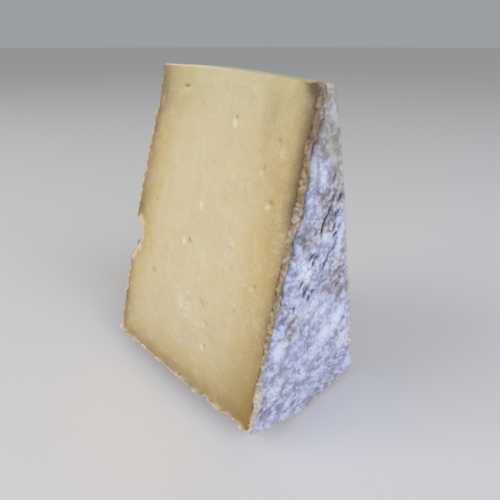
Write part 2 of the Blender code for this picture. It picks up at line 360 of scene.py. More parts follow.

# %% [markdown]
# ### Holes, crumbs and drag lines
# Caerphilly is pressed lightly, so gaps stay between the curds, and the knife opens some of
# them. Each mark is a bell-shaped hollow, or a crumb where the depth is negative. The clear
# ones are listed one by one and many faint ones are scattered by a seeded draw. In a few rough
# patches the blade pulled the curd up instead of slicing it.

# %% Marks of the front cut: x, z, half length, half width, turn, depth
FRONT_MARKS = (
    (-12.5, 120.9, 1.5, 0.55, 4, 0.75), (-11.9, 119.4, 0.8, 0.6, 60, -0.22), (15.8, 113, 0.6, 0.5, 0, 0.5),
    (15.2, 110.9, 0.9, 1.4, 20, -0.36), (35.4, 108.4, 1.2, 0.5, 70, 0.16), (31.1, 99.6, 1.5, 0.5, 40, 0.3),
    (30.2, 97.6, 0.6, 1.2, 10, -0.2), (36.3, 90, 1, 0.8, 0, 0.5), (35.3, 88.3, 1.1, 0.8, 40, -0.35),
    (3.6, 81.3, 1.2, 1.8, 0, -0.34), (-25, 77.2, 0.6, 0.5, 0, 0.5), (-25.4, 75.9, 0.8, 0.5, 20, -0.15),
    (-0.7, 67, 0.9, 0.8, 0, 0.6), (-3.8, 65.7, 1.1, 1.4, 0, -0.45), (35.8, 62.1, 0.8, 0.7, 30, 0.4),
    (34.2, 60.6, 1, 0.6, 30, -0.22), (30.8, 60.9, 0.9, 0.6, 0, -0.18), (7, 53.9, 1.1, 0.8, 50, -0.25),
    (28, 50.4, 0.9, 0.8, 0, 0.24), (-22.3, 47.5, 1.2, 1.1, 0, 0.42), (11, 46.3, 2.6, 0.6, -38, 0.3),
    (2.4, 46.7, 1, 0.7, 20, -0.24), (3.2, 44.7, 1.5, 0.7, -20, 0.22), (-1.4, 40.6, 0.6, 2, 10, -0.22),
    (-1.2, 36.6, 0.6, 1.8, 14, -0.2), (4.6, 38.2, 2, 0.7, -40, -0.22), (0.6, 36, 0.6, 0.6, 0, 0.22),
    (-3, 43.5, 0.5, 1.6, 10, -0.14), (14.9, 39.4, 1.1, 0.9, 0, 0.3), (13.6, 38.2, 0.7, 1.3, 30, -0.22),
    (-0.8, 37.3, 1.2, 0.6, 60, 0.24), (15.7, 30.5, 0.8, 0.7, 0, 0.42), (14.4, 29.2, 0.8, 1.3, 20, -0.28),
    (43, 46, 0.4, 2.4, -20, 0.25), (41.2, 90, 0.5, 6.5, 8, 0.14), (20, 76.5, 0.9, 0.7, 0, 0.12),
    (31.9, 98.6, 0.4, 2.4, 4, 0.16), (36, 107.8, 0.5, 1.6, 30, 0.22), (37.2, 104.8, 0.6, 1.8, 10, -0.16),
    (-3, 99.8, 2.2, 3.4, 20, -0.07), (1.4, 101, 0.8, 3.4, 10, -0.05), (-14.1, 94.4, 1.2, 1.8, 0, -0.1),
    (3.6, 91.2, 1, 2.2, 10, -0.1), (6.4, 88, 0.7, 2.6, 20, 0.05), (12.5, 84, 0.8, 3, 10, -0.06),
    (-9, 71.5, 0.9, 2.6, 10, -0.06), (22.5, 92, 1.4, 3.4, 12, -0.06), (24, 66, 1, 3, 10, 0.05),
)
FAINT_MARKS = 150
FAINT_SPANS = ((-40, 42), (14, 122), (0.4, 1.3), (0.3, 0.6), (0, 180))  # x, z, half sizes, turn
FAINT_DEPTHS = (-0.1, 0.16)

draw = np.random.default_rng(5)
x, y, z = np.moveaxis(paste_xyz, -1, 0)
hollows = np.zeros(x.shape)
for *mark, depth in FRONT_MARKS:
    hollows += is_front * depth * dent(x, z, mark)
for _ in range(FAINT_MARKS):
    side = is_front if draw.random() < 0.5 else is_back
    mark = [draw.uniform(*span) for span in FAINT_SPANS]
    hollows += side * draw.uniform(*FAINT_DEPTHS) * dent(x, z, mark)
print("deepest hollow %.2f mm, tallest crumb %.2f mm" % (hollows.max(), -hollows.min()))

# %% Rough patches: x, z, half width, half height
ROUGH_PATCHES = ((-1, 42, 5.6, 6), (7, 37.5, 6.5, 4.6), (7, 62, 3.5, 6), (20.5, 69, 3, 6))

rough = sum(np.exp(-(((x - u) / du) ** 2 + ((z - v) / dv) ** 2)) for u, v, du, dv in ROUGH_PATCHES)
rough = clipped(rough * (0.6 + 0.8 * noise(paste_xyz, 3.2, 6))) * (is_front | is_back)
print("rough share of the paste: %.0f%%" % (100 * (rough > 0.2).mean()))

# %% [markdown]
# ### The ragged edge of the cut
# Where the blade left the cheese, at the left side and along the bottom, crumbs of the rind
# cling to the cut's edge and small bites are missing. They break the outline, so they are
# lumps in the mesh. The rind adds the same lumps to its own edge, so the two stay joined.

# %% Lumps and bites along the front cut's edge: x, z, half length, half width, turn, height
EDGE_LUMPS = (
    (2, 9.6, 1.9, 1.5, 20, 0.7), (3.4, 10.9, 0.7, 0.6, 0, -1.3), (5.6, 10.2, 1.2, 0.9, 0, 0.5),
    (-11, 9.8, 2.4, 1.1, 10, 0.5), (-24, 9.6, 1.6, 0.9, 0, 0.35), (-33, 9.8, 2.6, 1, 10, 0.45),
    (-44, 11, 1.6, 2.6, 0, 0.8), (-41, 10, 2, 1.1, 20, 0.5), (14.5, 9.8, 2, 1, 0, 0.35),
    (27.5, 11.2, 2.2, 1.1, 10, 0.5), (22, 11.4, 0.9, 0.9, 0, 0.4), (34, 12, 2, 0.9, 0, 0.4),
    (40.5, 11.6, 2.4, 1.2, -20, 0.5), (-35.4, 52.6, 1.6, 1.5, 40, 0.9), (-37.6, 54.2, 1.1, 0.8, 60, -1.6),
    (-39.4, 48.5, 1.8, 2.2, 0, 0.8), (-34.6, 60, 1.4, 3.2, 10, 0.5), (-35.2, 65.4, 2, 2.4, 20, 0.9),
    (-31, 110, 0.9, 1.8, 0, 0.5),
)


def edge_lump(x, z):
    """Height of what clings to the front cut's edge, less the bites: a sum of ovals."""
    return sum(height * dent(x, z, mark) for *mark, height in EDGE_LUMPS)


clinging = is_front * edge_lump(x, z)
print("edge lumps: %d, up to %.1f mm high" % (len(EDGE_LUMPS), clinging.max()))

# %% [markdown]
# ### Ripening
# Mould ripens the paste from outside, so its colour follows its depth under the rind. A mask
# can hold that depth in millimetres, measured to the nearest side. The band isn't even: it
# reaches deeper on the right and near the tip, so depths are counted more slowly there.

# %% Depth of the paste under the rind
RIPE_DEPTH = 12  # the counted depth at which the yellow band ends
RIGHT_AT, RIGHT_REACH = (15, 35, 60, 95), (13, 17, 16.5, 17.5)  # the band's width, by z
LEFT_AT, LEFT_REACH = (40, 60, 90, 108, 118), (13.5, 15, 15, 15.5, 21)
RIGHT_POWER = 0.7  # below 1: quick near the rind, slow farther in
START_AT = (16, 28, 36, 46, 56, 74, 90, 103, 114)
START = (-0.6, 0.6, 1.8, 1.2, -0.6, -0.2, 0.2, 0.4, -0.8)  # the count at the left rind, by z
LEAST_AT, LEAST = (66, 80, 96, 106, 112), (1.6, 2.2, 2.4, 1.4, 0.4)  # and its least there
RIM_RATE_AT, RIM_RATE = (-40, 0, 45), (0.82, 0.7, 0.58)  # the count per mm above the rim, by x
RIM_LEAST = 3.4
MOST_AT_RIM, MOST_PER_MM = 12.2, 0.1  # the most it counts, as the tip is least ripe

from_left = x - left_side(clipped(z / TIP))
from_right = RIGHT - x
from_rim = paste_above
under_left = from_left * RIPE_DEPTH / np.interp(z, LEFT_AT, LEFT_REACH) + np.interp(z, START_AT, START)
under_left = np.maximum(under_left, np.interp(z, LEAST_AT, LEAST))
under_rim = np.maximum(from_rim * np.interp(x, RIM_RATE_AT, RIM_RATE), RIM_LEAST)
right_share = from_right / np.interp(z, RIGHT_AT, RIGHT_REACH)
under_right = RIPE_DEPTH * np.maximum(right_share, 0) ** RIGHT_POWER
under_rind = np.minimum(np.minimum(under_left, under_right), under_rim)
under_rind = np.minimum(under_rind, MOST_AT_RIM + MOST_PER_MM * z)
under_rind = under_rind + 0.9 * noise(paste_xyz, 9) + 0.4 * noise(paste_xyz, 3)
print("counted depth under the rind: up to %.1f mm" % under_rind.max())

# %% [markdown]
# ### Tints, painted shade and the seam
# Pink and olive patches are tints of the paste's own, and it is greyer towards the tip and the
# bottom. The lowest corner has dried to ochre, with painted shade over it and along the bottom
# edge. The edge along the tip has a painted highlight. Beside the wide lip of the rind the paste
# sinks into a seam, darker where it has dried and with painted shade on its slope.

# %% Tints, painted shade and painted highlight of the paste
BLUSHES = ((-32.8, 96, 2.2, 9, 4), (-34.6, 83, 1.8, 6, 4), (35.5, 97, 3.4, 12, 0), (17.8, 37, 5, 4, 0))
OLIVES = ((-29.6, 120, 1.6, 9, 0), (-35.8, 72.6, 1.6, 4.2, 4), (30.5, 114, 3.6, 12, 0))
TORN_AT, TORN_REACH = (50, 54, 57, 62, 65, 67), (2.6, 4.6, 4.8, 5.2, 6.2, 4)

# darker in the low right corner and along the bottom edge: ochre of dried paste, and painted shade where
# less light reaches
low_corner = np.maximum(bell(from_right, 16) * bell(from_rim, 27), 0.42 * bell(from_rim, 5))
olive = dents(x, z, OLIVES) * is_front
blush = dents(x, z, BLUSHES) * is_front
dull = ramp(z, 92, 122) + ramp(z, 52, 26)
near_tip = ramp(z, 106, 126) * ramp(under_rind, 1.5, 5.5)
# painted highlight along the edge of the tip
top_edge = ramp(z - TIP, -0.7, -0.2)
# a seam beside the wide lip: darker where the paste has dried, and painted shade on its sunken slope
seam = is_front * ramp(z, 80, 89) * bell(np.maximum(from_right - 0.8, 0), 2.3)
# painted shade on the first ring, drawn in behind the lip
seam[0] = ramp(z[0], 40, 70)  # the first ring is drawn in behind the lip, where it is dark
torn_share = (paste_left - PASTE_INSET) / np.interp(z, TORN_AT, TORN_REACH)
in_tear = eased(tear(0, z) * 2) * is_front * np.exp(-(torn_share**4))
print("paste in the tear: %d points" % (in_tear > 0.5).sum())

# %% [markdown]
# ### Relief of the paste
# The cut has waves about 15 mm long where the blade flexed, drag lines along its stroke, and a
# fine grain. Along the rind the paste dips, because it has dried. Beside the wide lip the front
# cut is also set back, by up to 3 mm, so that the lip's crumbs stand behind the paste's edge.

# %% Relief and mesh of the paste
SINK_AT = (0, 62, 80, 85.5, 93, 100, 106, 112, 118, 124, 128)
SINK = (0, 0.5, 0.9, 1.9, 2.7, 2.4, 1.8, 1.9, 3, 2.6, 1.6)
STROKE_LEAN, STROKE_STRETCH = 0.12, 0.13  # lean of the drag lines, one over their length

stroke = np.stack([x - STROKE_LEAN * z, y * 0, z * STROKE_STRETCH], axis=-1)
streak = noise(stroke, 1.7) * eased(0.5 + noise(paste_xyz, 12, 4))
waves = 0.12 * noise(paste_xyz, 15) + 0.05 * noise(paste_xyz, 5)
pulled = rough * (0.75 * noise(paste_xyz, 1.9) + 0.45 * noise(paste_xyz, 1, 7) + 0.1)
from_edge = np.minimum(np.minimum(from_left, from_right), from_rim) - PASTE_INSET
relief = (waves + 0.03 * streak + 0.018 * noise(paste_xyz, 0.9) + pulled
          - 0.12 * bell(from_edge, 0.9) - hollows + clinging
          + in_tear * (0.35 + 0.55 * noise(paste_xyz, 2.1, 9)))
shown = is_front | is_back | (paste_above > TIP - TIP_EDGE)
paste_xyz = paste_xyz + outward(paste_xyz) * (relief * shown)[..., None]
sink = np.interp(z, SINK_AT, SINK) * bell(np.maximum(from_right - 1.5, 0), 2.2)
paste_xyz[..., 1] += sink * is_front

paste = make_piece(
    "paste", paste_xyz, under_rind=under_rind, low_corner=low_corner, olive=olive, blush=blush,
    dull=dull, near_tip=near_tip, top_edge=top_edge, streak=streak, seam=seam, rough=rough,
    skin=clipped(1.3 * in_tear + 1.6 * clinging), crumb=clipped(-hollows),
    hollow=clipped(hollows - 0.7 * np.minimum(clinging, 0)))

# %% [markdown]
# ## The rind
# The rind is the wheel's own skin: paste that dried in the cellar and grew a coat of grey and
# white mould. It covers the two flat sides and the rim, and the knife broke its edge into a
# crumbly lip. It could be painted on, but its lumps, cracks and broken lip catch the light and
# show in outline. So it is a real skin about 3 mm thick, carried along a U-shaped path: down
# the left side, across under the rim and up the right side.

# %% Path of the rind
END_IN = 2.6  # the path ends this far inside the tip's corner
PATH_ABOVE_TIP, INNER_BELOW_TIP = 0.05, 0.9
LEFT_STEPS, RIM_STEPS, RIGHT_STEPS, BEND_STEPS, END_STEPS = 170, 96, 300, 7, 5


def u_path(inset, top, rim_bend, tip_bend, end_in):
    """A U of straight runs and quarter circles, on the block: from the left, and above the rim."""
    left, right, bottom = inset, THICKNESS - inset, inset

    def bend(middle_x, middle_z, radius, start):
        """Quarter circle: the middle plus the radius times the cosine and sine of the turn."""
        turn = np.radians(np.linspace(start, start + 90, BEND_STEPS))[1:-1]
        return middle_x + radius * np.cos(turn), middle_z + radius * np.sin(turn)

    def run(start, end, steps):
        """Straight run: even steps from start to end."""
        return np.linspace(start, end, steps, axis=1)

    parts = (
        run((end_in, top), (left + tip_bend, top), END_STEPS),
        bend(left + tip_bend, top - tip_bend, tip_bend, 90),
        run((left, top - tip_bend), (left, bottom + rim_bend), LEFT_STEPS),
        bend(left + rim_bend, bottom + rim_bend, rim_bend, 180),
        run((left + rim_bend, bottom), (right - rim_bend, bottom), RIM_STEPS),
        bend(right - rim_bend, bottom + rim_bend, rim_bend, 270),
        run((right, bottom + rim_bend), (right, top - tip_bend), RIGHT_STEPS),
        bend(right - tip_bend, top - tip_bend, tip_bend, 0),
        run((right - tip_bend, top), (THICKNESS - end_in, top), END_STEPS),
    )
    return np.concatenate(parts, axis=1)


outer_x, outer_z = u_path(0, TIP + PATH_ABOVE_TIP, 2, 1.2, END_IN)
inner_x, inner_z = u_path(RIND_THICK, TIP - INNER_BELOW_TIP, 0.3, 0.2, RIND_THICK + 0.6)
print("rind path: %d stations" % len(outer_x))

# %% [markdown]
# ### Section of the rind
# Each ring of the rind is its section from the front cut to the back one. The broken edge is a
# rounded lip: it starts under the paste, comes out a little proud of the cut, rolls over and
# runs back along the outside. Two numbers place each point: how deep under the outer skin it
# is, and how far behind the cut. Near the thin tip the lip is narrower, and beside the sunken
# seam it sinks with the paste.

# %% Rings of the rind
LIP_BEND = 0.55  # radius of the lip's edge
LIP_PROUD = 0.15  # how far it comes out of the cut
LIP_END = 4.6  # where the fine steps of the lip end
LIP_UNDER = ((RIND_THICK, 1.9), (2.2, 1.3), (1.6, 0.75), (1.3, 0.3), (1.1, -0.05))  # depth, behind
FULL_LIP_GAP = 13  # between the cuts, where the lip has its full size
INSIDE_AT = 1.8  # the inner skin starts this far behind the cut
FRONT_LIP_STEPS, BACK_LIP_STEPS, MIDDLE_STEPS, INSIDE_STEPS = 15, 9, 104, 8


def lip_section(steps):
    """Depths under the skin and distances behind the cut, from under the paste to the outside.

    Its rolled part is a quarter circle, from one minus sine and one minus cosine."""
    arc = np.linspace(0, np.pi / 2, 6)
    rolled = np.stack([LIP_BEND * (1 - np.sin(arc)),
                       LIP_BEND * (1 - np.cos(arc)) - LIP_PROUD * np.cos(arc)], axis=1)
    outside = np.linspace(LIP_BEND, LIP_END, steps)[1:]
    return np.concatenate([LIP_UNDER, rolled, np.stack([outside * 0, outside], axis=1)])


front_lip, back_lip = lip_section(FRONT_LIP_STEPS), lip_section(BACK_LIP_STEPS)[::-1]
gap = width(outer_z)[:, None]
narrow = clipped(gap / FULL_LIP_GAP)
middle = np.linspace(0, 1, MIDDLE_STEPS + 2)[None, 1:-1]
inside = np.linspace(1, 0, INSIDE_STEPS + 2)[None, 1:-1]
behind_cut = np.concatenate([
    narrow * front_lip[None, :, 1],
    narrow * LIP_END + middle * (gap - 2 * narrow * LIP_END),
    gap - narrow * back_lip[None, :, 1],
    narrow * INSIDE_AT + inside * (gap - 2 * narrow * INSIDE_AT)], axis=1)
sunk = np.interp(outer_z, SINK_AT, SINK) * (outer_x > THICKNESS - 2) * ramp(outer_z - TIP, 0.5, -3.5)
behind_cut[:, :len(front_lip)] += sunk[:, None] * clipped(1 - front_lip[None, :, 1] / LIP_END)
depth = np.concatenate([front_lip[:, 0], np.zeros(MIDDLE_STEPS), back_lip[:, 0],
                        np.full(INSIDE_STEPS, RIND_THICK)])[None, :] / RIND_THICK
rind_x = outer_x[:, None] + (inner_x - outer_x)[:, None] * depth
rind_z = outer_z[:, None] + (inner_z - outer_z)[:, None] * depth
rind_xyz = on_wedge(rind_x, behind_cut, rind_z)
print("rind grid:", rind_xyz.shape[:2])

# %% [markdown]
# ### Where the parts of the rind lie
# The rind's marks differ by side, so a few shares from 0 to 1 say where each part is, and the
# marks are multiplied by them. Only the right side's front edge has a wide lip.

# %% Shares of the rind
x, y, z = np.moveaxis(rind_xyz, -1, 0)
from_back = gap - behind_cut
from_cut = np.minimum(behind_cut, from_back)
at_front = (behind_cut < from_back).astype(float)
skin = clipped((0.78 - depth) / 0.3)  # relief fades out towards the inner skin
outside = (depth < 0.02) * 1
right_side = ramp(x - RIGHT, -3, -1.5)
on_right = right_side * ramp(z, 4, 8)
front_right = on_right * at_front
wide_lip = front_right * ramp(z, 34, 48)
torn = tear(clipped(behind_cut / gap), z) * ramp(x - LEFT_AT_RIM, 18, 15)
calm = 1 - (1 - front_right) * ramp(z, 62, 70)  # 0 where the upper edges were cut clean
print("points on the right side: %d of %d" % ((on_right > 0.5).sum(), x.size))

# %% [markdown]
# ### The broken lip
# Along the front edge of the right side the lip is a band of tan crumbs, 1 to 4 mm wide in its
# lower half and up to 5 mm near the tip. Up there it has broken into slabs with dark joints,
# and a crevice shows where it has come away from the grey skin. Elsewhere it is a thin pale
# line, wider round the tear. Most of this follows the height, so tables hold it.

# %% Widths, joints and colours of the lip, by height
LIP_AT = (0, 10, 15, 24, 30, 37, 46, 55, 65, 73, 82, 84.5, 88, 94, 98.5, 103, 107, 110, 114, 121, 128)
LIP_WIDTH = (0.9, 1.1, 2.2, 3.2, 1.9, 1.4, 1.8, 2.8, 3.2, 3.4, 3.8,
             5.4, 4.9, 4.8, 4.4, 4.2, 3.9, 4.8, 4.8, 4.4, 5)
THIN_LIP, TORN_LIP = 1.1, 2.2  # width elsewhere, and how much wider it is at the tear
JOINTS = ((84.2, 0.5), (91, -0.3), (99, -0.2), (109.6, 0.4), (118.6, -0.2))  # height, and rise per mm
JOINT_WIDTH = 0.45
CREVICE_AT, CREVICE_WIDTH = (40, 80, 90, 112), (0.55, 0.65, 0.9, 0.85)
GAPE_AT = (83, 88, 93, 97, 101, 104, 116, 121)
GAPE = (0.55, 0.9, 0.7, 0.2, 0.7, 0.95, 0.9, 0.5)  # how open the crevice is
CREAM_AT = (0, 25, 34, 44, 58, 72, 80, 84, 90, 92, 99, 101, 108, 110, 122, 128)
CREAM = (1, 0.9, 0.6, 0.3, 0.25, 0.25, 0.3, 0.52,
         0.4, 0.2, 0.15, 0.15, 0.2, 0.06, 0.05, 0.3)  # how pale the lip is
STRAW_AT = (0, 28, 40, 80, 84, 90, 93, 106, 111, 128)
STRAW = (0, 0.3, 1, 1, 0.4, 0.5, 0.9, 0.8, 0.1, 0)  # how yellow the lip is

lip_width = THIN_LIP + front_right * (np.interp(z, LIP_AT, LIP_WIDTH) - THIN_LIP)
lip_width = lip_width + TORN_LIP * eased(torn * 4)
lip_width = lip_width * (1 + 0.25 * noise(rind_xyz, 3.6)) + 0.45 * noise(rind_xyz, 1.7, 2) * calm
lip = 1 - ramp(from_cut - lip_width, -0.2, 0.2)
cream = clipped(np.interp(z, CREAM_AT, CREAM) + 0.3 * noise(rind_xyz, 2.6, 11))
straw = np.interp(z, STRAW_AT, STRAW)
print("lip is up to %.1f mm wide" % lip_width.max())

# %% Crumbs, joints and crevice of the lip
joint = sum(bell(z - at - lean * from_cut - 0.6 * noise(rind_xyz, 2.5), JOINT_WIDTH)
            for at, lean in JOINTS)
joint = joint * clipped(0.8 + noise(rind_xyz, 1.6, 2))
joint = joint * wide_lip * lip * np.where(np.abs(z - JOINTS[0][0]) < 3.5, 1, 0.55)
bent = rind_xyz + 0.7 * np.stack([noise(rind_xyz, 2.6, shift) for shift in (0, 9, 17)], axis=-1)
slabs = crumbs(bent * (1, 1, 0.55), 2.3)
grains = 0.65 * crumbs(bent, 3, 5) + 0.35 * crumbs(bent, 1.5, 8)
slab_share = ramp(z, 78, 86) * wide_lip
lip_crumbs = slab_share * ramp(slabs, -0.1, 0.4) + (1 - slab_share) * ramp(grains, 0, 0.38)
# the crevice is a groove in the mesh, and its mask also paints shade into it
crevice = bell(from_cut - lip_width - 0.2, np.interp(z, CREVICE_AT, CREVICE_WIDTH))
crevice = crevice * wide_lip * ramp(z, 30, 50)
crevice = crevice * clipped(np.interp(z, GAPE_AT, GAPE) + 1.2 * noise(rind_xyz, 2.6, 3))
lip_shade = wide_lip * bell(from_cut, 1.3) * ramp(z, 80, 90)
print("joints and crevice cover %.1f%% of the rind" % (100 * (joint + crevice > 0.5).mean()))

# %% [markdown]
# ### Slits, knobs and patches of mould
# The drying skin opened in slits on the right side, and small pink knobs of dried paste stand
# along its edge. White bloom, beige skin and brown rubbed spots lie over the grey. Each is a
# listed oval.

# %% Ovals of the right side: y, z, half length, half width, turn
SLITS = (
    (3.9, 84.7, 2.6, 0.65, 58), (1.8, 79.6, 3.4, 0.8, 78), (5.9, 95.9, 1.7, 0.55, 72),
    (8.9, 83, 1.6, 0.6, 25), (7.6, 78.4, 1.4, 0.7, 60), (10.3, 77.9, 1.1, 0.55, 80),
    (8.7, 75.4, 1.3, 0.7, 35), (8.6, 71.3, 2.6, 0.55, 66), (5.4, 67.6, 2.8, 0.5, 56),
    (3.2, 64.8, 1.6, 0.5, 60), (-3.4, 70.4, 1.6, 0.7, 35), (-0.9, 69.6, 1.2, 0.6, 20),
    (-2.4, 67.8, 1.2, 0.6, 60), (-8.2, 61.6, 1.6, 0.65, 60), (-5.4, 57.4, 2, 0.9, 58),
    (-3.8, 54.7, 1.2, 0.7, 62), (-6.4, 59.4, 0.9, 0.55, 50), (-1.6, 56.4, 1, 0.6, 30),
    (7.6, 61, 1.2, 0.5, 60), (6, 89, 1.5, 0.5, 65), (9.4, 88.6, 1.6, 0.55, 70),
    (-11.2, 53.4, 1.5, 0.5, 60), (-13, 47.2, 1.3, 0.5, 55), (12.9, 53.6, 1.4, 0.5, 40),
)
KNOBS = (
    (-3, 121.3, 0.5, 0.7, 0), (-3.5, 118.3, 0.6, 0.7, 0), (-4.6, 115.6, 0.4, 0.5, 0),
    (23.6, 30.5, 1.6, 1.8, 0), (25.6, 25.5, 1, 1.4, 0), (26.8, 20.5, 1.6, 1.8, 0),
)
BROWNS = (
    (-2.2, 107.2, 2.8, 2.2, 60), (1.4, 113, 1.3, 1.8, 20), (-2.4, 121.6, 1.1, 2, 0),
    (-0.4, 119, 1.2, 1.4, 0), (-0.9, 89.8, 1.2, 2.4, 60), (-9.4, 88.6, 2, 2.2, 60),
    (8.2, 89.8, 1.8, 4.4, 70), (-4.4, 97, 1.2, 3, 60), (-11, 81, 1.6, 2.6, 60), (12.4, 57.5, 1.6, 3, 20),
    (10.6, 52.2, 2.6, 1.8, 30), (6.2, 60.4, 2, 2, 30), (-14, 47.4, 2.6, 1.6, 30), (-12, 43, 1.6, 1.2, 0),
    (-16.4, 52, 1.6, 3.6, 30), (-25.5, 19, 1.8, 6, 0), (-7.3, 77, 2.4, 3.4, 50),
)
WHITES = (
    (-5.4, 64.8, 5, 3.4, 60), (-9, 71, 3, 2.5, 0), (-1.6, 50.6, 4.6, 3.4, 30), (-0.4, 97, 4.4, 1.8, 110),
    (-6, 100.5, 5, 1.8, 108), (11.5, 71, 7, 1.5, 84), (-18.5, 40, 4, 3, 40), (7, 33, 9, 4.5, 40),
    (-20, 22, 6, 3.5, 40), (22, 24, 7, 4, 30), (3, 75.5, 1.6, 3, 60), (4, 45, 6, 3, 30), (16, 38, 6, 3, 60),
    (-3.4, 90.5, 1.6, 1.5, 30), (-6.5, 66, 3.6, 3.6, 60),
)
BEIGES = (
    (9.5, 57, 5, 6, 10), (13, 64, 3, 5, 0), (-14, 44, 4, 3, 30), (-10, 49, 3, 2.5, 0), (1, 89.5, 5, 5, 20),
    (-27, 17, 2.2, 4, 0), (-6, 78, 4, 5, 40), (16, 52, 4, 6, 0), (8, 91, 3.5, 8, 0), (3, 78, 6, 5, 30),
)

slits, knobs, brown, white, beige = (
    dents(y, z, marks) * on_right for marks in (SLITS, KNOBS, BROWNS, WHITES, BEIGES))
print("%d slits, %d knobs" % (len(SLITS), len(KNOBS)))

# %% [markdown]
# ### Relief of the rind
# Mould grows in cushions 2 to 10 mm across, drawn out along one slanting direction, and the
# drying skin wrinkles between them. The old skin near the tip is smoother. The lip is rough
# crumbs, with a low ridge along its slabs. The foot is flat, as the wedge's weight pressed it.

# %% Relief of the rind
STREAK_TURN, STREAK_STRETCH = math.radians(-15), 1.4  # lean and length of the cushions

along_streak = y * math.cos(STREAK_TURN) + z * math.sin(STREAK_TURN)
across_streak = z * math.cos(STREAK_TURN) - y * math.sin(STREAK_TURN)
streaked = np.stack([x, along_streak / STREAK_STRETCH, across_streak], axis=-1)
wrinkled = eased(0.55 + 1.3 * noise(rind_xyz, 9, 5))
# the creases dip in the mesh, and their mask is also painted shade in the colour
creases = (1 - ramp(crumbs(streaked, 2.4, 3), 0, 0.16)) * wrinkled * (1 - lip)
lumps = (0.24 * noise(rind_xyz, 11) + 0.24 * noise(streaked, 4.2, 2)
         + 0.22 * noise(streaked, 1.9) + 0.18 * noise(rind_xyz, 1))
lumps = lumps * (1 - 0.55 * on_right * ramp(z, 94, 104))
ridge = bell(from_cut - 0.5 * lip_width, 0.45 * lip_width)
lip_lumps = ((0.55 * lip_crumbs - 0.3 + 0.25 * noise(rind_xyz, 3, 4)) * (0.15 + 0.85 * calm)
             + 0.35 * slab_share * ridge + at_front * edge_lump(x, z) * ramp(z, 0, 4))
slits, knobs = slits * outside, knobs * outside
relief = (lumps * (1 - lip) + lip_lumps * lip - 0.14 * creases - 0.85 * slits
          - 0.85 * crevice - 0.75 * joint + 0.6 * knobs)
rind_xyz = rind_xyz + outward(rind_xyz) * (relief * skin)[..., None]
in_foot = (rind_z < 0.01) & (np.abs(y - FOOT_MIDDLE) < FOOT_HALF)
rind_xyz[..., 2] = np.where(in_foot, 0, np.maximum(rind_xyz[..., 2], 0))
print("rind relief, mm: %.2f to %.2f" % (relief.min(), relief.max()))

# %% [markdown]
# ### Masks of the rind
# The skin has no single colour. Each mask says where one of its layers lies: older skin near
# the tip, brown spots where the bloom has rubbed off, the worn edge on the table, and the lip,
# whose pale edge wraps over the tip's right corner with a painted highlight along it. Other
# masks are painted shade: in the creases, the slits, the crevice and between the lip's crumbs.

# %% Masks and mesh of the rind
aged = eased((z + 1.2 * y - 96) / 9 + 0.4 * noise(rind_xyz, 6, 8))
brown = clipped(brown * (0.75 + 0.6 * noise(rind_xyz, 2.2, 1)))
brown = np.maximum(brown, eased(noise(rind_xyz, 9, 12) * 2.2 - 1) * (1 - on_right))
worn_height = 2.9 + 1.4 * noise(rind_xyz, 2.6, 6)
worn = right_side * eased((worn_height - rind_z) / 0.9) * outside
# pale lip colour and a painted highlight along the tip's rounded right corner
tip_corner = ramp(rind_z - TIP, -1.8, -0.8) * right_side * (1 - lip) * outside
by_paste = ramp(x - RIGHT, -8, -6) * (1 - ramp(x - RIGHT, -2.6, -1.6)) * ramp(rind_z - TIP, -4, -2.5)
back_fade = np.interp(z, (70, 100), (0.35, 0.75))  # how faint the back lip of the right side is
pale_lip = (1 - front_right) * np.interp(z, (104, 116), (0.82, 0.4))
lip_colour = lip * (1 - on_right * (1 - at_front) * back_fade)
lip_colour = np.maximum(lip_colour, clipped(1.6 * knobs))
lip_colour = np.maximum(lip_colour, 0.7 * tip_corner)
cream = np.maximum(np.maximum(cream, np.clip(1.3 * knobs, 0, 0.9)), pale_lip)
cream = np.maximum(np.maximum(cream, 0.8 * tip_corner), 0.3 * by_paste * at_front)
straw = np.maximum(straw, by_paste)
# painted shade between the lip's crumbs
lip_dark = lip * (1 - lip_crumbs) * (0.15 + 0.35 * wide_lip + 0.15 * slab_share) * (1 - by_paste)
lip_shade = lip_shade * (1 - by_paste)
rind = make_piece(
    "rind", rind_xyz, lip=lip_colour, cream=cream, straw=straw, aged=aged, brown=brown,
    white=white, beige=clipped(beige), worn=worn, crease=creases, torn=torn, lip_dark=clipped(lip_dark),
    lip_shade=lip_shade, gap=clipped(crevice + 0.85 * joint), slit=clipped(1.2 * slits))

# %% [markdown]
# ## Materials
# Colours are written as sRGB hex values, as a colour picker shows them, and one function turns
# them to the linear values that the shader works in. Another adds a node with its settings and
# links, so a material reads from top to bottom like a recipe.

# %% Colours and nodes
def linear(hex_colour):
    """sRGB hex to linear RGBA: x / 12.92 below 0.04045, else ((x + 0.055) / 1.055) ^ 2.4."""
    srgb = np.array([int(hex_colour[i:i + 2], 16) for i in (1, 3, 5)]) / 255
    rgb = np.where(srgb <= 0.04045, srgb / 12.92, ((srgb + 0.055) / 1.055) ** 2.4)
    return (*rgb, 1)


def add_node(tree, kind, inputs=None, **settings):
    """Adds a node, sets it up, and fills each named input with a value or another's output."""
    node = tree.nodes.new("ShaderNode" + kind)
    for setting, value in settings.items():
        setattr(node, setting, value)
    for socket, value in (inputs or {}).items():
        if isinstance(value, bpy.types.NodeSocket):
            tree.links.new(value, node.inputs[socket])
        else:
            node.inputs[socket].default_value = value
    return node


def new_material(name, **surface):
    """A material with one Principled BSDF, whose constant sockets are set by name."""
    material = bpy.data.materials.new(name)
    material.use_nodes = True
    shader = material.node_tree.nodes["Principled BSDF"]
    for socket, value in surface.items():
        shader.inputs[socket.replace("_", " ")].default_value = value
    return material, material.node_tree, shader


print("cream in linear:", np.round(linear("#e6d8b4")[:3], 3))

